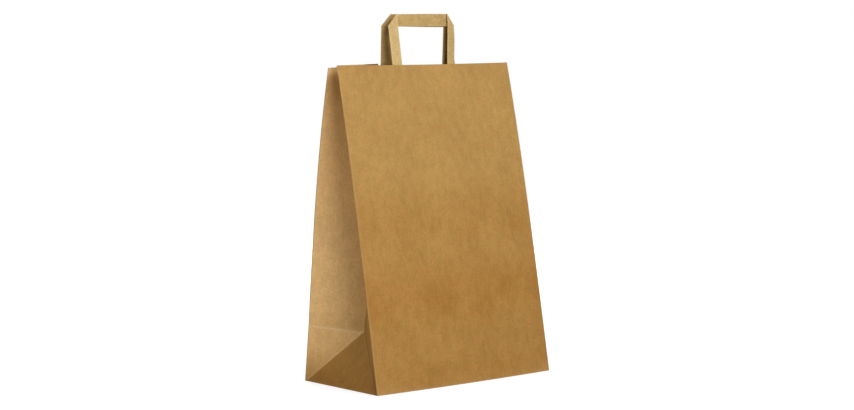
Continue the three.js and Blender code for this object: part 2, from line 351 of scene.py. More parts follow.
class StudioSettings(PropertyGroup):
    """Camera, lamps and floor."""

    azimuth: angle("Azimuth", "Direction of the camera, 0 straight in front of the bag", math.radians(-40.58))
    elevation: angle("Elevation", "Height of the camera as an angle", math.radians(5.25))
    distance: length("Distance", "Distance of the camera from its target", 3.072)
    target_height: length("Target height", "Height of the camera's target before the two shifts", 0.225)
    target_right: length("Target right", "Shift of the target across the view", -0.00269)
    target_up: length("Target up", "Shift of the target up the view", 0.01828)
    floor: colour("Floor", "Colour of the floor", (0.35, 0.35, 0.35))
    floor_reach: length("Floor reach", "Half the width of the floor", 12.0)
    near_white: share("White near the bag", "Brightness added to the floor beside the bag", 0.84)
    white_from: length("White from", "Distance from the bag at which the floor is white by itself", 2.5)
    bounce: share("Bounce", "Light that the floor gives the bag", 0.05)
    ambient: share("Ambient", "Light from all round", 0.03)


class SheetPanel(NamedTuple):
    """A panel and its handle. Outward is the sign of Y that faces away from the bag."""

    outward: int
    height: float
    lean: float
    mouth: tuple
    phase: float
    rise: float
    left_leg_painted_lighting: float
    right_leg_painted_lighting: float
    dent: float = 0.0
    leg_turn: float = 0.0
    left_leg_turn: float = 0.0
    left_leg_slant: float = 0.0
    leg_lift: float = 0.0


def smooth_step(value, low, high):
    """A part that goes smoothly from 0 to 1 while the value goes from low to high."""
    part = np.clip((value - low) / (high - low), 0.0, 1.0)
    return part * part * (3.0 - 2.0 * part)


def blend(start, end, part):
    """What lies between a start and an end."""
    return start + (end - start) * part


def unit(vectors):
    """The same directions with the length 1."""
    return vectors / np.linalg.norm(vectors, axis=-1, keepdims=True)


def points(*axes):
    """Two or three arrays as one array of points."""
    return np.stack(np.broadcast_arrays(*axes), axis=-1)


def stops(start, end):
    """Places from one fold to the next, about a step apart and closer beside both folds."""
    span = end - start
    inner = FOLD_STOPS[-1]
    count = max(2, round((span - 2 * inner) / SHEET_STEP))
    middle = np.linspace(inner, span - inner, count + 1)
    return start + np.hstack([FOLD_STOPS[:-1], middle, span - FOLD_STOPS[-2::-1]])


def worn(distance):
    """How worn the paper is at a distance from a fold, from 0 to 1."""
    return np.exp(-np.abs(distance) / WEAR_REACH)


def foot_painted_light(height):
    """How much painted light the paper gets along the base, at a height over it."""
    return FOOT_PAINTED_LIGHT * np.exp(-height / FOOT_REACH)


class BagShape:
    """Where the paper lies, worked out from the sizes."""

    def __init__(self, scene):
        self.sheet = sheet = scene.bag_sheet
        self.handle = handle = scene.bag_handle
        self.half_width = sheet.width / 2
        self.half_depth = sheet.depth / 2
        self.crease_share = self.half_depth / sheet.front_height
        self.base_fold = 2 * sheet.paper
        self.floor = 3 * sheet.paper
        self.leg_centre = (handle.width - handle.strip) / 2
        self.leg_inner = handle.width / 2 - handle.strip
        self.leg_depth = sheet.paper + handle.glue
        self.grip_depth = self.leg_depth + handle.thickness
        self.stack = self.grip_depth + handle.thickness
        front_mouth = tuple(sheet.mouth)
        rear_mouth = tuple(front + gap for front, gap in zip(sheet.mouth, sheet.mouth_gap))
        # The front handle's legs get painted light, and the rear handle's legs painted shade behind the front
        # one
        self.front = SheetPanel(
            outward=-1, height=sheet.front_height, lean=sheet.front_lean, mouth=front_mouth, phase=0.4,
            rise=handle.front_rise, left_leg_painted_lighting=1.0, right_leg_painted_lighting=0.4, leg_turn=handle.leg_turn,
            left_leg_slant=handle.leg_slant, leg_lift=handle.leg_lift,
        )
        self.rear = SheetPanel(
            outward=1, height=sheet.front_height - sheet.rear_drop, lean=sheet.rear_lean,
            mouth=rear_mouth, phase=2.9, rise=handle.rear_rise, left_leg_painted_lighting=-0.3, right_leg_painted_lighting=-1.0,
            dent=sheet.rear_dent, left_leg_turn=handle.rear_leg_turn,
        )

    def rim(self, panel, x):
        """How far a panel's rim lies behind the middle of the base, between the corners and the two legs."""
        places = (-self.half_width, -self.leg_centre, self.leg_centre, self.half_width)
        steps = zip(panel.mouth, panel.mouth[1:], places, places[1:])
        rises = ((end - start) * smooth_step(x, low, high) for start, end, low, high in steps)
        return panel.mouth[0] + sum(rises)

    def ripple(self, panel, x, height):
        """Slow waves of a panel, none at its side folds and its base fold."""
        wave = sum(
            strength * np.sin(across * x + up * height + phase * panel.phase + start)
            for strength, across, up, phase, start in WAVES
        )
        fade = (1 - (x / self.half_width) ** 4) * smooth_step(height, 0.0, WAVE_FOOT)
        return self.sheet.ripple * wave * fade

    def panel_point(self, panel, x, part):
        """A point of a panel's outer face. The part runs from 0 at the base fold to 1 at the mouth."""
        crown = 1 - (x / self.half_width) ** 2
        foot = panel.outward * (self.half_depth + self.sheet.base_bow * crown)
        run = self.rim(panel, x) - foot
        straight = 1 - panel.lean
        lean = straight * part + panel.lean * part ** 3
        bulge = self.sheet.bulge * crown * 4 * part * (1 - part)
        dent = panel.dent * np.minimum(part / self.crease_share, (1 - part) / (1 - self.crease_share))
        ripple = self.ripple(panel, x, part * panel.height)
        # Height that the sheet loses by leaning, from the square of its slope summed up to this part
        bent = panel.lean * part ** 2
        slopes = part * (straight ** 2 + 2 * straight * bent + 9 / 5 * bent ** 2)
        lost = run * run / panel.height * slopes / 2
        y = foot + run * lean + panel.outward * (bulge - dent + ripple)
        return points(x, y, self.base_fold + panel.height * part - lost)

    def crease(self, side, part):
        """The centre of the gusset's middle crease, above the point where the creases meet."""
        front = self.panel_point(self.front, side * self.half_width, part)
        rear = self.panel_point(self.rear, side * self.half_width, part)
        upward = (part - self.crease_share) / (1 - self.crease_share)
        tip_rise = self.sheet.tip_rise if side < 0 else 0.0
        drop = blend(self.sheet.crease_drop, -tip_rise, upward)
        # A gusset half keeps its flat width between the side fold and half of the middle one
        folds = self.sheet.fold + self.sheet.fold / 2
        reach = (rear[..., 1] - front[..., 1]) / 2 - folds
        inward = np.sqrt(self.half_depth ** 2 - reach ** 2 - drop ** 2)
        return (front + rear) / 2 - points(side * inward, 0.0, drop)

    def leg_shift(self, panel, along):
        """How far the slant of the left leg moves it towards the middle, at a place along the panel."""
        below_fold = panel.height + panel.rise - self.handle.strip - along
        return math.tan(panel.left_leg_slant) * np.maximum(below_fold, 0.0)

    def sheet_point(self, panel, x, along, depth):
        """A point on a panel or on its straight run over the mouth, at a depth behind the outer face."""
        handle = self.handle
        part = np.minimum(along / panel.height, 1.0)
        beyond = along - panel.height
        place = self.panel_point(panel, x, part)
        on_sheet = place - self.panel_point(panel, x, part - SLOPE_STEP)
        rightward = smooth_step(x, -self.leg_centre, self.leg_centre)
        middle = (self.rim(self.front, x) + self.rim(self.rear, x)) / 2 + blend(*handle.set_back, rightward)
        top = middle + panel.outward * (blend(*handle.clear, rightward) / 2 + self.stack)
        over_mouth = points(0.0 * x, top - self.rim(panel, x), panel.rise)
        direction = unit(np.where((beyond > 0)[..., None], over_mouth, on_sheet))
        place = place + direction * np.maximum(beyond, 0.0)[..., None]

        # The right leg turns about its inner edge, and the left leg about its outer edge beside the mouth
        turned = smooth_step(beyond, -handle.patch_drop, handle.turn_length)
        turned = turned * np.maximum(x - self.leg_inner, 0.0)
        left_turned = (
            smooth_step(beyond, -handle.patch_drop, 0.0)
            * (1 - smooth_step(beyond, 0.0, panel.rise / 2))
            * np.clip(x + handle.width / 2, 0.0, handle.strip)
            * (1 - smooth_step(x, -self.leg_inner, handle.strip - self.leg_inner))
        )
        turn = math.tan(panel.leg_turn) * turned + math.tan(panel.left_leg_turn) * left_turned
        inward = -panel.outward * depth
        y = place[..., 1] + inward * direction[..., 2] - panel.outward * turn
        return points(place[..., 0], y, place[..., 2] - inward * direction[..., 1])


class PaperMesh:
    """Gathers grids of paper into one mesh with its flat layout, its worn folds with a painted rim highlight,
    and its painted light and shade.
    """

    def __init__(self):
        self.places = []
        self.faces = []
        self.layout = []
        self.tones = {"fold_wear_and_rim_highlight": [], "painted_light_and_shade": []}
        self.count = 0

    def add_points(self, places, wear, pale):
        """Adds points, and gives the number of the first one."""
        first = self.count
        self.places.append(places.reshape(-1, 3))
        for kept, values in zip(self.tones.values(), (wear, pale)):
            kept.append(np.broadcast_to(values, places.shape[:-1]).ravel())
        self.count += len(self.places[-1])
        return first

    def add_faces(self, faces, layout):
        """Adds faces by the numbers of their points, with a place on the flat layout for each corner."""
        self.faces.extend(faces.tolist())
        self.layout.append(layout.reshape(-1, 2))

    def add_grid(self, places, layout, wear, pale=0.0, closed=False, flip=False):
        """A sheet of rows and columns. A closed one has one more column in its layout than in its places."""
        first = self.add_points(places, wear, pale)
        rows, columns = places.shape[:2]
        row, column = np.mgrid[0:rows - 1, 0:columns if closed else columns - 1]
        corners = [(0, 0), (0, 1), (1, 1), (1, 0)]
        if flip:
            corners.reverse()
        index = [first + (row + down) * columns + (column + over) % columns for down, over in corners]
        spots = [layout[row + down, column + over] for down, over in corners]
        self.add_faces(np.stack(index, axis=-1).reshape(-1, 4), np.stack(spots, axis=2))
        return first

    def make_object(self, name, material):
        """The finished mesh as an object of the scene."""
        mesh = bpy.data.meshes.new(name)
        mesh.from_pydata(np.concatenate(self.places).tolist(), [], self.faces)
        layout = mesh.uv_layers.new(name="sheet")
        layout.data.foreach_set("uv", np.concatenate(self.layout).astype(np.float32).ravel())
        for title, values in self.tones.items():
            data = mesh.attributes.new(title, "FLOAT", "POINT").data
            data.foreach_set("value", np.concatenate(values).astype(np.float32))
        mesh.polygons.foreach_set("use_smooth", np.ones(len(mesh.polygons), bool))
        mesh.set_sharp_from_angle(angle=SHARP_ANGLE)
        mesh.materials.append(material)
        mesh.validate()
        piece = bpy.data.objects.new(name, mesh)
        bpy.context.scene.collection.objects.link(piece)
        return piece


def inset(rings, thickness):
    """Closed rings moved inwards by the paper's thickness, mitred at every fold."""
    edges = np.roll(rings, -1, axis=1)[..., :2] - rings[..., :2]
    after = unit(points(edges[..., 1], -edges[..., 0]))
    before = np.roll(after, 1, axis=1)
    spread = 1 + (before * after).sum(axis=-1, keepdims=True)
    moved = rings.copy()
    moved[..., :2] -= (before + after) * thickness / np.maximum(spread, MITRE_LIMIT)
    return moved


class BodyColumns(NamedTuple):
    """Some columns of the body, row by row: places, distances across the flat sheet, wear with a painted rim
    highlight, and painted light and shade.
    """

    places: np.ndarray
    flat: np.ndarray
    wear: np.ndarray
    pale: np.ndarray


def panel_columns(shape, panel, xs, part):
    """The columns of a panel at the given places across it."""
    places = shape.panel_point(panel, xs, part)
    grid = places.shape[:2]
    from_fold = shape.half_width - np.abs(xs)
    flat = np.broadcast_to(np.abs(xs - xs[0]), grid)
    wear = np.broadcast_to(SIDE_WEAR * worn(from_fold), grid)
    if panel.dent > 0:
        wear = np.maximum(wear, REAR_CROSS_WEAR * worn((part - shape.crease_share) * panel.height))
    # Painted shade along the rim
    rim = -RIM_SHADE * np.exp((part - 1) * panel.height / RIM_REACH)
    # Painted light along the base edge, doubled towards the side folds
    corner = 1 + np.exp(-from_fold / CORNER_REACH)
    return BodyColumns(places, flat, wear, rim + foot_painted_light(part * panel.height) * corner)


def gusset_wear_and_rim_highlight(shape, part, beside_cross, wide, half_flat, middle_flat):
    """How worn a gusset is along its folds and creases, with a painted highlight along the rim of its rear
    half.
    """
    sheet = shape.sheet
    low_wide = sheet.depth - 2 * wide
    front = SIDE_WEAR * np.maximum(worn(half_flat), worn(wide - half_flat))
    middle = np.maximum(SIDE_WEAR * worn(middle_flat), CREASE_WEAR * worn(low_wide - middle_flat))
    rim = RIM_PAINTED_HIGHLIGHT * np.exp((part - 1) * sheet.front_height / RIM_HIGHLIGHT_REACH)
    rear = np.maximum(SIDE_WEAR * worn(wide - half_flat), CREASE_WEAR * worn(half_flat))
    rear = np.maximum(rear, np.maximum(CROSS_WEAR * beside_cross, rim))
    return np.hstack([front, middle, rear])


def gusset_painted_lighting(shape, side, part, across, half_flat, middle_columns):
    """The painted light and shade of a gusset: painted light and sheen, less near the mouth and near the
    base, with painted shade on its tucked-in front half, beside its middle crease and on the triangle over
    the base.
    """
    height = part * shape.sheet.front_height
    # Painted light and sheen on the rear half, less under the cross crease and near the base
    low = blend(LOW_PAINTED_LIGHT, 1.0, smooth_step(part, shape.crease_share, shape.crease_share + LOW_PAINTED_LIGHT_FADE))
    low = low * blend(FOOT_KEEP, 1.0, smooth_step(height, 0.0, FOOT_KEEP_HEIGHT))
    # Painted shade under the mouth, and painted light again at the rim
    at_rim = smooth_step(part, *RIM_PAINTED_LIGHT)
    rear = low * (1 - smooth_step(part, *PAINTED_LIGHT_TOP_FADE) * (1 - at_rim))
    middle = rear * smooth_step(part, *FRONT_PAINTED_LIGHT_FADE)
    # Painted shade on the tucked-in front half, deepest beside its fold, and at the left gusset's tip
    tucked = TUCKED_PAINTED_SHADE * (1 - smooth_step(part, shape.crease_share, TUCKED_FADE))
    front = blend(middle - tucked, -TUCKED_PAINTED_SHADE, np.exp(-half_flat / TUCKED_REACH))
    if side < 0:
        front = blend(front, DEEPEST_PAINTED_SHADE, at_rim * smooth_step(across, *TIP_FADE))
    # Painted shade on the triangle over the base, eased by the painted light along the base edge
    over_base = part < shape.crease_share
    middle = np.where(over_base, foot_painted_light(height) - BASE_SHADE, middle)
    middle = middle.repeat(middle_columns, axis=1)
    # Painted shade beside the middle crease
    beside_crease = np.exp(-half_flat / CREASE_SHADE_REACH) * ~over_base
    rear = rear * (1 - CREASE_SHADE * beside_crease)
    return np.hstack([front, middle, rear])


def gusset_columns(shape, side, part):
    """The columns of a gusset from the front panel's fold to the rear panel's fold."""
    sheet = shape.sheet
    bend = sheet.fold
    front = shape.panel_point(shape.front, side * shape.half_width, part)
    rear = shape.panel_point(shape.rear, side * shape.half_width, part)
    start = front + np.array([-side * bend / 2, bend, 0.0])
    end = rear - np.array([side * bend / 2, bend, 0.0])
    centre = shape.crease(side, np.maximum(part, shape.crease_share))
    back = np.array([0.0, bend, 0.0])
    down = np.minimum(part / shape.crease_share, 1.0)
    crease_front = blend(front[0] + 2 * back, centre - back / 2, down[..., None])
    crease_rear = blend(rear[0] - 2 * back, centre + back / 2, down[..., None])

    # The middle columns: the rounded crease, and under it the triangle between the two diagonals
    middle = blend(crease_front, crease_rear, CREASE_STOPS[:, None])
    middle[..., 0] -= side * (np.sin(np.pi * CREASE_STOPS) * bend / 2 * (down >= 1))

    across = stops(0.0, shape.half_depth) / shape.half_depth
    front_half = blend(start, crease_front, across[:, None])
    rear_half = blend(crease_rear, end, across[:, None])
    beside_cross = worn((part - shape.crease_share) * sheet.front_height)
    rear_half[..., 0] += side * sheet.crease_ridge * (beside_cross * np.sin(np.pi * across) ** RIDGE_POWER)
    places = np.hstack([front_half, middle[:, 1:-1], rear_half])

    # On the flat sheet the halves narrow and the triangle widens towards the base
    wide = down * shape.half_depth
    half_flat = across * wide
    middle_flat = CREASE_STOPS[1:-1] * (sheet.depth - 2 * wide)
    flat = np.hstack([half_flat, wide + middle_flat, sheet.depth - wide + half_flat])
    wear = gusset_wear_and_rim_highlight(shape, part, beside_cross, wide, half_flat, middle_flat)
    pale = gusset_painted_lighting(shape, side, part, across, half_flat, middle_flat.shape[1])
    return BodyColumns(places, flat, wear, pale)


def arc_columns(shape, panel, side, part, to_gusset):
    """The columns of the rounded side fold between a panel and a gusset."""
    edge = shape.panel_point(panel, side * shape.half_width, part)
    bend = shape.sheet.fold
    swing = np.radians(np.linspace(-90, 90, FOLD_ARC_STEPS + 1)[1:-1])
    if not to_gusset:
        swing = swing[::-1]
    x = side * (shape.half_width - bend / 2 + bend / 2 * np.cos(swing))
    y = edge[..., 1] - panel.outward * bend / 2 * (1 + np.sin(swing))
    places = points(x, y, edge[..., 2])
    grid = places.shape[:2]
    flat = np.broadcast_to(np.linspace(0, math.pi * bend / 2, FOLD_ARC_STEPS + 1)[1:-1], grid)
    # The rounded side fold gets painted shade
    return BodyColumns(places, flat, np.full(grid, SIDE_WEAR), np.full(grid, -SIDE_SHADE))


def body_rings(shape, part):
    """All columns of the body, anticlockwise from above from the front left fold."""
    sheet = shape.sheet
    inner = shape.half_width - sheet.fold / 2
    seam_edge = shape.half_width - sheet.seam
    seam = panel_columns(shape, shape.rear, np.linspace(inner, seam_edge, SEAM_COLUMNS), part)
    seam.places[..., 1] += sheet.paper
    left = BodyColumns(*(values[:, ::-1] for values in gusset_columns(shape, -1, part)))
    groups = [
        panel_columns(shape, shape.front, stops(-inner, inner), part),
        arc_columns(shape, shape.front, 1, part, True),
        gusset_columns(shape, 1, part),
        arc_columns(shape, shape.rear, 1, part, False),
        seam,
        panel_columns(shape, shape.rear, -stops(sheet.paper - seam_edge, inner), part),
        arc_columns(shape, shape.rear, -1, part, True),
        left._replace(flat=sheet.depth - left.flat),
        arc_columns(shape, shape.front, -1, part, False),
    ]
    start = 0.0
    for index, group in enumerate(groups):
        groups[index] = group._replace(flat=start + group.flat)
        start += group.flat[0, -1] + sheet.paper
    return BodyColumns(*(np.hstack(values) for values in zip(*groups)))


def add_plate(paper, outer, inner, layout, wear, flip):
    """A closed plate between two grids of the same size."""
    rows, columns = outer.shape[:2]
    first = paper.add_grid(outer, layout, wear, flip=flip)
    second = paper.add_grid(inner, layout, wear, flip=not flip)
    index = np.arange(rows * columns).reshape(rows, columns)
    border = np.hstack([index[0, :-1], index[:-1, -1], index[-1, :0:-1], index[:0:-1, 0]])
    after = np.roll(border, -1)
    faces = [first + border, second + border, second + after, first + after]
    spots = [layout.reshape(-1, 2)[edge] for edge in (border, border, after, after)]
    if flip:
        faces.reverse()
        spots.reverse()
    paper.add_faces(np.stack(faces, axis=-1), np.stack(spots, axis=1))


def add_flap(paper, shape, panel, underside):
    """A base flap: turned under at its panel's base fold, with 45 degree ends, to just past the middle."""
    sheet = shape.sheet
    reach = (sheet.depth + sheet.flap_overlap) / 2
    across = np.linspace(-1, 1, FLAP_COLUMNS)
    inwards = np.linspace(0, reach, FLAP_ROWS)[:, None]
    x = (shape.half_width - sheet.paper - inwards) * across
    foot = shape.panel_point(panel, x[0], np.zeros(FLAP_COLUMNS))[:, 1] - panel.outward * sheet.paper
    y = blend(foot, panel.outward * (shape.half_depth - reach), inwards / reach)
    low = points(x, y, underside)
    high = points(x, y, shape.base_fold)
    add_plate(paper, low, high, points(x, inwards) - BASE_GAP, worn(inwards), flip=panel.outward < 0)


def make_body(shape, material):
    """The folded sheet: tube, floor and the two base flaps, as one piece."""
    sheet = shape.sheet
    upper = stops(shape.half_depth, sheet.front_height)
    # One height for each row of the sheet, as a column
    heights = np.hstack([stops(0.0, shape.half_depth), upper[1:]])[:, None]
    places, flat, wear, pale = body_rings(shape, heights / sheet.front_height)
    rows, columns = places.shape[:2]
    edge_wear = np.maximum(BASE_WEAR * worn(heights), SIDE_WEAR * worn(sheet.front_height - heights))
    wear = np.maximum(wear, edge_wear)
    inside = inset(places, sheet.paper)
    inside[0, :, 2] = shape.floor
    layout = points(np.hstack([flat, flat[:, -1:] + sheet.paper]), heights)
    paper = PaperMesh()
    outer = paper.add_grid(places, layout, wear, pale, closed=True)
    inner = paper.add_grid(inside, layout, INSIDE_WEAR * wear, pale, closed=True, flip=True)

    # The cut edge round the mouth
    here = np.arange(columns)
    after = (here + 1) % columns
    rim = np.stack([outer + here, outer + after, inner + after, inner + here], axis=-1)
    spots = [layout[-1, column] for column in (here, here + 1, here + 1, here)]
    paper.add_faces(rim + (rows - 1) * columns, np.stack(spots, axis=1))

    # The inner ply of the base, seen from below and from inside
    plies = ((outer, places[0], shape.base_fold, -1), (inner, inside[0], shape.floor, 1))
    for first, ring, height, order in plies:
        centre = paper.add_points(np.array([[0.0, 0.0, height]]), 0.0, 0.0)
        fan = np.stack([first + here, first + after, np.full(columns, centre)], axis=-1)
        spots = np.stack([ring[here, :2], ring[after, :2], np.zeros((columns, 2))], axis=1)
        paper.add_faces(fan[:, ::order], spots[:, ::order] - BASE_GAP)
    add_flap(paper, shape, shape.front, sheet.paper)
    add_flap(paper, shape, shape.rear, 0.0)
    return paper.make_object("kraft_bag_body", material)


def handle_course(shape, panel, strip):
    """The middle of a handle's strip, row by row from foot to foot, and the distances along it."""
    handle = shape.handle
    half = handle.thickness / 2
    top = panel.height + panel.rise
    foot = top - handle.leg
    outer = handle.width / 2
    fold_at = top - handle.strip + strip
    leg_depth = shape.leg_depth + half
    grip_depth = shape.grip_depth + half
    climb = np.linspace(0, 1, LEG_ROWS)[:, None]
    swing = np.linspace(0, math.pi, FOLD_ROWS + 1)[1:-1, None]
    slide = np.linspace(0, 1, GRIP_ROWS)[:, None]
    leg_x = -outer + strip
    leg_along = blend(foot, fold_at, climb)
    drop = fold_at - leg_along
    grip_x = blend(leg_x, -leg_x, slide)

    # The right leg stands off the grip, and the grip's right end lies back from it, less so at its outer edge
    lift = panel.leg_lift * smooth_step(drop, *LIFT_GROWS) * (1 - smooth_step(drop, *LIFT_FADES))
    recess = panel.leg_lift * smooth_step(grip_x, shape.leg_inner - handle.strip, shape.leg_inner)
    recess = recess * (1 - smooth_step(grip_x, shape.leg_inner, outer))
    roll = (grip_depth - leg_depth) / 2 * np.sin(swing) / math.sqrt(2)
    turn = (1 - np.cos(swing)) / 2
    turn_in = blend(leg_depth, grip_depth, turn)
    turn_out = blend(leg_depth, grip_depth + recess[-1:], turn[::-1])
    sections = [
        (leg_x + shape.leg_shift(panel, leg_along), leg_along, leg_depth + 0 * leg_along),
        (leg_x - roll, fold_at + roll, turn_in + 0 * strip),
        (grip_x, fold_at + 0 * slide, grip_depth + recess),
        (-leg_x + roll[::-1], fold_at + roll[::-1], turn_out),
        (-leg_x + 0 * climb, leg_along[::-1], (leg_depth - lift)[::-1]),
    ]
    x, along, depth = (np.vstack(values) for values in zip(*sections))
    leg = fold_at - foot
    run = np.vstack([
        leg_along - foot,
        leg + 0 * swing,
        leg + grip_x - leg_x,
        leg - 2 * leg_x + 0 * swing,
        (leg - 2 * leg_x + drop)[::-1],
    ])
    return shape.sheet_point(panel, x, along, depth), run


def handle_painted_lighting(panel):
    """The painted light and shade of each row of a handle. The legs differ from the grip: painted light on
    the front handle's legs, painted shade on the rear handle's legs behind the other handle.
    """
    slide = np.linspace(0, 1, GRIP_ROWS)
    leg = np.where(slide < 0.5, panel.left_leg_painted_lighting, panel.right_leg_painted_lighting)
    grip = leg * (1 - smooth_step(np.minimum(slide, 1 - slide), 0.0, GRIP_FADE))
    leg_rows = LEG_ROWS + FOLD_ROWS - 1
    return np.hstack([grip[:1].repeat(leg_rows), grip, grip[-1:].repeat(leg_rows)])


def make_handle(shape, panel, name, material):
    """A handle: one folded strip, up a leg, over a 45 degree fold, along the grip and down the other leg."""
    width = shape.handle.strip
    half = shape.handle.thickness / 2
    strip = np.linspace(half, width - half, STRIP_COLUMNS)
    middle, run = handle_course(shape, panel, strip[None, :])
    across = unit(np.gradient(middle, axis=1))
    facing = unit(np.cross(across, np.gradient(middle, axis=0)) * -panel.outward)

    # Round the strip: its outer face, its one folded edge, its inner face and the other edge
    swing = np.radians(np.linspace(0, 180, EDGE_STEPS + 1)[1:-1])[None, :, None]
    far = middle[:, -1:] + half * (np.sin(swing) * across[:, -1:] + np.cos(swing) * facing[:, -1:])
    near = middle[:, :1] - half * (np.sin(swing) * across[:, :1] + np.cos(swing) * facing[:, :1])
    around = np.hstack([middle + half * facing, far, (middle - half * facing)[:, ::-1], near])
    rows, columns = around.shape[:2]
    bends = EDGE_STEPS - 1
    flat = np.hstack([
        strip,
        np.full(bends, width),
        2 * width - strip[::-1] + STRIP_GAP,
        np.full(bends, 2 * width + STRIP_GAP),
        strip[:1],
    ])
    far_run = run[:, -1:].repeat(bends, axis=1)
    near_run = run[:, :1].repeat(bends + 1, axis=1)
    layout = points(flat, np.hstack([run, far_run, run[:, ::-1], near_run]))

    pale = handle_painted_lighting(panel)[:, None].repeat(columns, axis=1)
    # The outer face keeps the painted light but takes no painted shade, which falls on the edges and inner
    # face
    pale[:, :STRIP_COLUMNS] = np.maximum(pale[:, :STRIP_COLUMNS], 0.0)
    face_wear = np.maximum(worn(strip - half), worn(width - half - strip))
    wear = np.hstack([face_wear, np.ones(bends), face_wear[::-1], np.ones(bends)])
    # Edge wear is full under painted light, less without it, and gone under painted shade
    wear = wear * np.clip(blend(STRIP_WEAR, 1.0, pale), 0.0, 1.0)
    paper = PaperMesh()
    flip = panel.outward > 0
    first = paper.add_grid(around, layout, wear, pale, closed=True, flip=flip)

    # The two feet
    start = first + np.arange(columns)
    end = start + (rows - 1) * columns
    for ring, row in ((start[::-1], 0), (end, -1)):
        ring = ring[::-1] if flip else ring
        paper.add_faces(ring[None, :], layout[row, :columns])
    return paper.make_object(name, material)


def make_patch(shape, panel, name, material):
    """A patch: flat on the panel, stepped over the two handle legs."""
    handle = shape.handle
    ramp = handle.patch_ramp
    outer = handle.width / 2 + handle.patch_margin
    top = panel.height - handle.patch_drop
    rows = np.linspace(top - handle.patch_height, top, PATCH_ROWS)
    x, along = np.meshgrid(np.linspace(-outer, outer, PATCH_COLUMNS), rows)
    leg_start = shape.leg_inner - handle.glue
    leg_end = handle.width / 2 + handle.glue
    from_middle = np.abs(x - np.where(x < 0, shape.leg_shift(panel, along), 0.0))
    over = smooth_step(from_middle, leg_start - ramp, leg_start)
    over = over * (1 - smooth_step(from_middle, leg_end, leg_end + ramp))
    depth = blend(shape.leg_depth, shape.grip_depth + handle.glue, over)
    outside = shape.sheet_point(panel, x, along, depth)
    inside = shape.sheet_point(panel, x, along, depth + shape.sheet.paper)
    border = np.minimum(outer - np.abs(x), np.minimum(along - along[0], along[-1] - along))
    paper = PaperMesh()
    add_plate(paper, outside, inside, points(x, along), PATCH_WEAR * worn(border), flip=panel.outward > 0)
    return paper.make_object(name, material)


def add_node(tree, kind, inputs=(), output=0, **settings):
    """Adds a shader node, links or sets its inputs, and gives one of its outputs if it has any."""
    made = tree.nodes.new("ShaderNode" + kind)
    for name, value in settings.items():
        setattr(made, name, value)
    for name, value in dict(inputs).items():
        socket = made.inputs[name]
        if isinstance(value, NodeSocket):
            tree.links.new(value, socket)
        else:
            socket.default_value = (*value, 1.0) if socket.type == "RGBA" else value
    return made.outputs[output] if made.outputs else None


def node_maker(owner):
    """Clears the nodes of a new material or world, and gives the function that adds new ones."""
    owner.use_nodes = True
    owner.node_tree.nodes.clear()
    return partial(add_node, owner.node_tree)


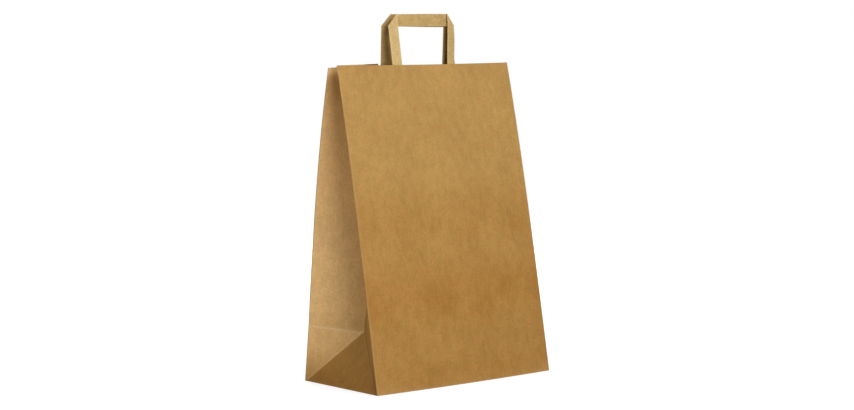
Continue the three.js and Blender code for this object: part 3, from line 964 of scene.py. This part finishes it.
def kraft_paper(name, tone, warm_shade_tone, painted_light_tone, worn_tone, mottle=1.0):
    """Uncoated kraft: clouds, dapples, grain, fibres and ribs on the flat sheet, paler at worn folds and a
    painted rim highlight, with the mesh's painted light and shade.
    """
    material = bpy.data.materials.new(name)
    node = node_maker(material)
    layout = node("UVMap", uv_map="sheet")

    def ranged(value, *limits):
        """What goes from one number to another over a range. The limits are the range and the numbers."""
        return node("MapRange", enumerate((value, *limits)), "Result", interpolation_type="SMOOTHSTEP")

    def calculated(operation, *values):
        """The result of a calculation with sockets and numbers."""
        return node("Math", enumerate(values), "Value", operation=operation)

    def times(*values):
        """The product of all values."""
        return reduce(partial(calculated, "MULTIPLY"), values)

    def mixed(factor, first, second):
        """A colour between two colours."""
        inputs = {"Factor": factor, MIX_FIRST: first, MIX_SECOND: second}
        return node("Mix", inputs, MIX_RESULT, data_type="RGBA")

    def tinted(first, second):
        """The product of two colours."""
        return node("VectorMath", {0: first, 1: second}, "Vector", operation="MULTIPLY")

    looks = {}
    for title, (across, up, detail) in NOISES.items():
        place = node("VectorMath", {0: layout, 1: (across, up, 1.0)}, operation="DIVIDE")
        inputs = {"Vector": place, "Scale": 1.0, "Detail": detail, "Roughness": NOISE_ROUGHNESS}
        looks[title] = node("TexNoise", inputs, "Fac")
    rib_scale = 2 * math.pi / RIB_RADIANS / RIB_PERIOD
    ribs = {"Vector": layout, "Scale": rib_scale, "Distortion": RIB_WAVER, "Detail": RIB_DETAIL}
    looks["ribs"] = node("TexWave", ribs, "Fac")
    height = node("SeparateXYZ", {"Vector": layout}, "Y")
    # Faint bands of painted shade across the sheet, wavering with the clouds
    wavering = calculated("MULTIPLY_ADD", looks["clouds"], BAND_WAVER, height)
    turns = 2 * math.pi / BAND_PERIOD
    swing = calculated("MULTIPLY_ADD", wavering, turns, -turns * (BAND_HEIGHT + BAND_WAVER / 2))
    looks["bands"] = calculated("COSINE", swing)

    # Painted shade: the darker warm brown lower down and in faint bands, varied at random by clouds and
    # patches
    warmth = times(ranged(height, *WARMTH), *(ranged(looks[title], *limits) for title, *limits in WARMTHS))
    # Painted light and shade from the mesh: above 0 it mixes in the pale tone, below 0 it darkens the paper
    pale = node("Attribute", output="Fac", attribute_name="painted_light_and_shade")
    base = mixed(pale, mixed(warmth, tone, warm_shade_tone), painted_light_tone)
    patchy = mixed(ranged(looks["tints"], *TINTED), YELLOWER, REDDER)
    # The random tint patches fade out under painted light
    base = tinted(base, mixed(pale, patchy, UNTINTED))
    # Painted shade darkens the paper towards a warm tint
    base = tinted(base, mixed(ranged(pale, DEEPEST_PAINTED_SHADE, 0.0, 0.0, 1.0), PAINTED_SHADE_TINT, UNTINTED))
    shades = []
    for title, low, high, change, mottled in SHADES:
        change = change * mottle if mottled else change
        shades.append(ranged(looks[title], low, high, 1 + change, 1 - change))
    shade = times(*shades, ranged(looks["specks"], *SPECKLED))
    shaded = node("VectorMath", {0: base, "Scale": shade}, "Vector", operation="SCALE")
    # Worn folds and the painted rim highlight both take the worn colour
    wear = node("Attribute", output="Fac", attribute_name="fold_wear_and_rim_highlight")
    rubbed_and_rim_lit = times(wear, ranged(looks["dapples"], *RUBBED))

    normal = {}
    for title, distance in BUMPS:
        inputs = {"Strength": BUMP_STRENGTH, "Distance": distance, "Height": looks[title], **normal}
        normal = {"Normal": node("Bump", inputs)}
    paper = node("BsdfPrincipled", {
        "Base Color": mixed(rubbed_and_rim_lit, shaded, worn_tone),
        "Roughness": ranged(looks["dapples"], *ROUGHNESS),
        "Specular IOR Level": SPECULAR,
        **normal,
    })
    node("OutputMaterial", {"Surface": paper})
    return material


def aim(piece, place, target):
    """Puts a lamp or a camera in its place and points it at a target."""
    piece.location = place
    piece.rotation_euler = (Vector(target) - Vector(place)).to_track_quat("-Z", "Y").to_euler()


def around_bag(azimuth, elevation, distance):
    """A place as seen from the bag: azimuth 0 is straight in front, and positive is to the right."""
    level = distance * math.cos(elevation)
    return Vector((level * math.sin(azimuth), -level * math.cos(azimuth), distance * math.sin(elevation)))


def add_lamp(name, place, target, size, power):
    """A round white softbox that points at the target."""
    lamp = bpy.data.lights.new(name, "AREA")
    lamp.shape = "DISK"
    lamp.size = size
    lamp.energy = power
    piece = bpy.data.objects.new(name, lamp)
    piece.visible_camera = False
    bpy.context.scene.collection.objects.link(piece)
    aim(piece, place, target)


def add_lamps(centre):
    """The softboxes round the bag and the light card on the floor."""
    for name, azimuth, elevation, distance, size, power in SOFTBOXES:
        direction = around_bag(math.radians(azimuth), math.radians(elevation), distance)
        add_lamp(name, centre + direction, centre, size, power)
    card = Vector(FLOOR_CARD_PLACE)
    add_lamp("floor_card", card, card + Vector((0.0, 0.0, 1.0)), FLOOR_CARD_SIZE, FLOOR_CARD_POWER)


def seen_directly(node):
    """A factor that is 1 for what the camera sees, straight or through gloss and glass."""
    total = node("LightPath", output="Is Camera Ray")
    for ray in ("Is Glossy Ray", "Is Transmission Ray"):
        total = node("Math", {0: total, 1: node("LightPath", output=ray)}, operation="MAXIMUM")
    return total


def white_world(scene, light):
    """White where it is seen, and a plain soft light elsewhere."""
    scene.world = bpy.data.worlds.new("white_studio")
    node = node_maker(scene.world)
    soft = node("Background", {"Color": AMBIENT_TINT, "Strength": light})
    white = node("Background", {"Color": UNTINTED, "Strength": 1.0})
    node("OutputWorld", {"Surface": node("MixShader", {"Fac": seen_directly(node), 1: soft, 2: white})})


def floor_finish(studio):
    """A pale floor that is white or nearly white where the camera sees it, and keeps the bag's shadow."""
    material = bpy.data.materials.new("pale_floor")
    node = node_maker(material)
    matte = node("BsdfDiffuse", {"Color": studio.floor})
    away = node("VectorMath", {0: node("NewGeometry", output="Position")}, "Value", operation="LENGTH")
    limits = (NEAR_FLOOR, studio.white_from, studio.near_white, 1.0)
    whiter = node("MapRange", enumerate((away, *limits)))
    strength = node("Mix", {"Factor": seen_directly(node), "A": studio.bounce, "B": whiter})
    shine = node("Emission", {"Color": UNTINTED, "Strength": strength})
    node("OutputMaterial", {"Surface": node("AddShader", {0: matte, 1: shine})})
    return material


def add_floor(scene, studio):
    """A wide floor just under the bag."""
    reach = studio.floor_reach
    mesh = bpy.data.meshes.new("studio_floor")
    corners = [(-reach, -reach, 0), (reach, -reach, 0), (reach, reach, 0), (-reach, reach, 0)]
    mesh.from_pydata(corners, [], [(0, 1, 2, 3)])
    mesh.materials.append(floor_finish(studio))
    floor = bpy.data.objects.new("studio_floor", mesh)
    floor.location.z = -FLOOR_DROP
    scene.collection.objects.link(floor)


def add_camera(scene, studio, centre):
    """The camera, which looks a little beside the centre of the bag."""
    camera = bpy.data.cameras.new("photo_camera")
    camera.lens = FOCAL_PIXELS / FRAME_WIDTH * camera.sensor_width
    camera.clip_end = CLIP_END
    piece = bpy.data.objects.new("photo_camera", camera)
    scene.collection.objects.link(piece)
    back = around_bag(studio.azimuth, studio.elevation, 1.0)
    right = Vector((math.cos(studio.azimuth), math.sin(studio.azimuth), 0.0))
    up = back.cross(right)
    target = centre + right * studio.target_right + up * studio.target_up
    aim(piece, target + back * studio.distance, target)
    scene.camera = piece


def dress(piece, node_name):
    """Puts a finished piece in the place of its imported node."""
    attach(piece, "root")
    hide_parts(node_name)


class BAG_OT_body(Operator):
    """Folds the body of the bag from one kraft sheet"""

    bl_idname = "paper_bag.body"
    bl_label = "Bag body"

    def execute(self, context):
        colours = context.scene.kraft_colours
        kraft = kraft_paper("kraft_sheet", colours.sheet, colours.warm, colours.gusset, colours.worn)
        dress(make_body(BagShape(context.scene), kraft), "bag_body")
        return {"FINISHED"}


class BAG_OT_handles(Operator):
    """Folds the two flat handles from paper strips"""

    bl_idname = "paper_bag.handles"
    bl_label = "Flat handles"

    def execute(self, context):
        colours = context.scene.kraft_colours
        tones = (colours.grip, colours.grip, colours.strip, colours.worn)
        kraft = kraft_paper("kraft_strip", *tones, STRIP_MOTTLE)
        shape = BagShape(context.scene)
        dress(make_handle(shape, shape.front, "front_paper_handle", kraft), "front_handle")
        dress(make_handle(shape, shape.rear, "rear_paper_handle", kraft), "rear_handle")
        return {"FINISHED"}


class BAG_OT_patches(Operator):
    """Glues a patch over the legs of each handle"""

    bl_idname = "paper_bag.patches"
    bl_label = "Handle patches"

    def execute(self, context):
        colours = context.scene.kraft_colours
        kraft = kraft_paper("kraft_patch", colours.patch, colours.patch, colours.patch, colours.worn)
        shape = BagShape(context.scene)
        dress(make_patch(shape, shape.front, "front_paper_patch", kraft), "front_handle_patch")
        dress(make_patch(shape, shape.rear, "rear_paper_patch", kraft), "rear_handle_patch")
        return {"FINISHED"}


class BAG_OT_stage(Operator):
    """Sets up the floor, the lamps and the camera"""

    bl_idname = "paper_bag.stage"
    bl_label = "Stage"

    def execute(self, context):
        scene = context.scene
        studio = scene.bag_studio
        scene.view_settings.view_transform = "Standard"
        centre = Vector((0.0, 0.0, studio.target_height))
        add_floor(scene, studio)
        white_world(scene, studio.ambient)
        add_lamps(centre)
        add_camera(scene, studio, centre)
        return {"FINISHED"}


class VIEW3D_PT_paper_bag(Panel):
    """Lists the steps that make the bag"""

    bl_label = "Paper bag"
    bl_space_type = "VIEW_3D"
    bl_region_type = "UI"
    bl_category = "Paper bag"

    def draw(self, context):
        for operator in OPERATORS:
            self.layout.operator(operator.bl_idname)
        for group in SETTINGS:
            box = self.layout.box()
            settings = getattr(context.scene, group)
            for name in settings.__annotations__:
                box.prop(settings, name)


SETTINGS = {
    "bag_sheet": BagSheetSizes,
    "bag_handle": BagHandleSizes,
    "kraft_colours": KraftColours,
    "bag_studio": StudioSettings,
}
OPERATORS = (BAG_OT_body, BAG_OT_handles, BAG_OT_patches, BAG_OT_stage)
CLASSES = (*SETTINGS.values(), *OPERATORS, VIEW3D_PT_paper_bag)


def register():
    """Adds the classes and the scene's settings."""
    for cls in CLASSES:
        bpy.utils.register_class(cls)
    for name, group in SETTINGS.items():
        setattr(bpy.types.Scene, name, PointerProperty(type=group))


def unregister():
    """Takes the settings and the classes away again."""
    for name in SETTINGS:
        delattr(bpy.types.Scene, name)
    for cls in reversed(CLASSES):
        bpy.utils.unregister_class(cls)


def main():
    """Makes the bag and its stage."""
    register()
    bpy.ops.paper_bag.body()
    bpy.ops.paper_bag.handles()
    bpy.ops.paper_bag.patches()
    bpy.ops.paper_bag.stage()


if __name__ == "__main__":
    main()
